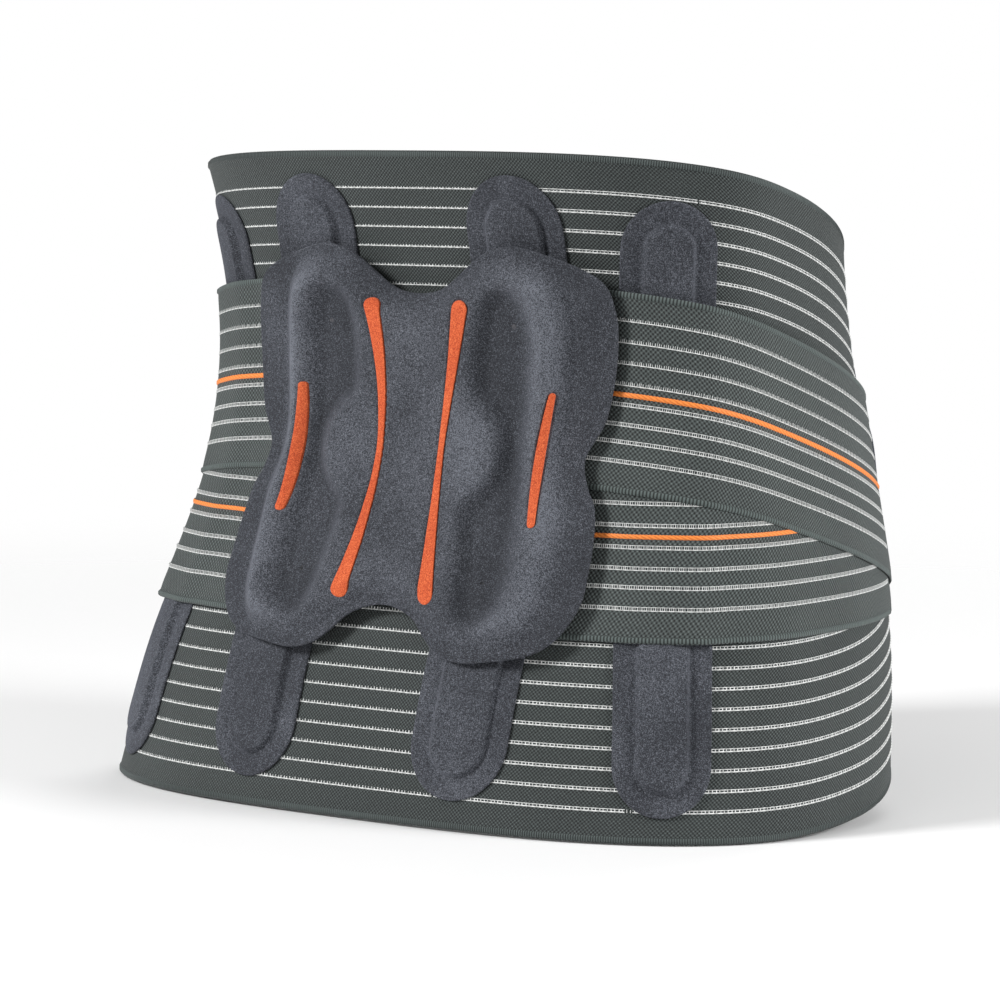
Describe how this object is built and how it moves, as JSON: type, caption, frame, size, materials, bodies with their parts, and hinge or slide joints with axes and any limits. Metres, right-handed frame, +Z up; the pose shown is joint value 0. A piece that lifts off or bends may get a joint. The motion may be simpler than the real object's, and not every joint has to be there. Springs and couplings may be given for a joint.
{
  "type": "lumbar support belt",
  "caption": "Tall elastic knit back belt with stay pockets, crossed tension straps, front closure and a contoured back pad.",
  "frame": {"origin": "on the wearer's trunk axis, midway between the top and bottom edges at the spine", "axes": "+Z up along the trunk, the back pad faces -Y, the front closure faces +Y, the wearer's right is +X"},
  "size_m": [0.3427, 0.28, 0.2621],
  "materials": {
    "knit": "openwork elastic knit",
    "strap_knit": "openwork elastic knit with comb-ribbed edges",
    "felt": "brushed heathered felt",
    "inlay": "soft matt",
    "hook": "hook tape",
    "loop": "brushed loop fabric",
    "stay_steel": "spring steel",
    "cap_plastic": "dipped plastic",
    "foam": "moulded foam",
    "plate": "flexible sheet"
  },
  "bodies": {
    "back": {"back_knit_panel": "knit", "right_spine_pocket": "felt", "right_spine_stay": "stay_steel", "right_side_pocket": "felt", "right_side_stay": "stay_steel", "right_upper_strap_back": "strap_knit", "right_lower_strap_back": "strap_knit", "left_spine_pocket": "felt", "left_spine_stay": "stay_steel", "left_side_pocket": "felt", "left_side_stay": "stay_steel", "left_upper_strap_back": "strap_knit", "left_lower_strap_back": "strap_knit", "stay_end_caps": "cap_plastic", "strap_anchor": "strap_knit", "pad_loop_patch": "loop"},
    "right_wing": {"right_wing_knit": "knit", "right_front_panel": "loop", "right_upper_strap_side": "strap_knit", "right_lower_strap_side": "strap_knit"},
    "left_wing": {"left_wing_knit": "knit", "left_front_panel": "loop", "left_upper_strap_side": "strap_knit", "left_lower_strap_side": "strap_knit", "closure_hook_panel": "hook", "hand_pocket": "felt"},
    "right_tab": {"right_strap_tab": "loop", "right_tab_hook": "hook"},
    "left_tab": {"left_strap_tab": "loop", "left_tab_hook": "hook"},
    "pad": {"pad_base": "felt", "pad_core": "felt", "pad_cover": "felt", "right_long_inlay": "inlay", "right_short_inlay": "inlay", "right_foam_insert": "foam", "left_long_inlay": "inlay", "left_short_inlay": "inlay", "left_foam_insert": "foam", "pad_stiffener": "plate", "pad_hook_backing": "hook"}
  },
  "joints": [
    {"name": "left_wing_open", "type": "hinge", "parent": "back", "child": "left_wing", "pos_m": [-0.16076, 0.012, 0], "axis": [0.1057, 0, 0.9944], "range_deg": [0, 65]},
    {"name": "right_wing_open", "type": "hinge", "parent": "back", "child": "right_wing", "pos_m": [0.16076, 0.012, 0], "axis": [0.1057, 0, -0.9944], "range_deg": [0, 26]},
    {"name": "left_tab_peel", "type": "hinge", "parent": "left_wing", "child": "left_tab", "pos_m": [-0.1015, 0.1299, -0.017], "axis": [0, -0.0995, 0.995], "range_deg": [0, 70]},
    {"name": "right_tab_peel", "type": "hinge", "parent": "right_wing", "child": "right_tab", "pos_m": [0.1015, 0.1262, -0.017], "axis": [0, 0.0995, -0.995], "range_deg": [0, 70]},
    {"name": "pad_detach", "type": "slide", "parent": "back", "child": "pad", "axis": [0, -1, 0], "range_m": [0, 0.06]}
  ],
  "couplings": [
    {"joint": "right_wing_open", "follows": "left_wing_open", "ratio": 0.4}
  ]
}
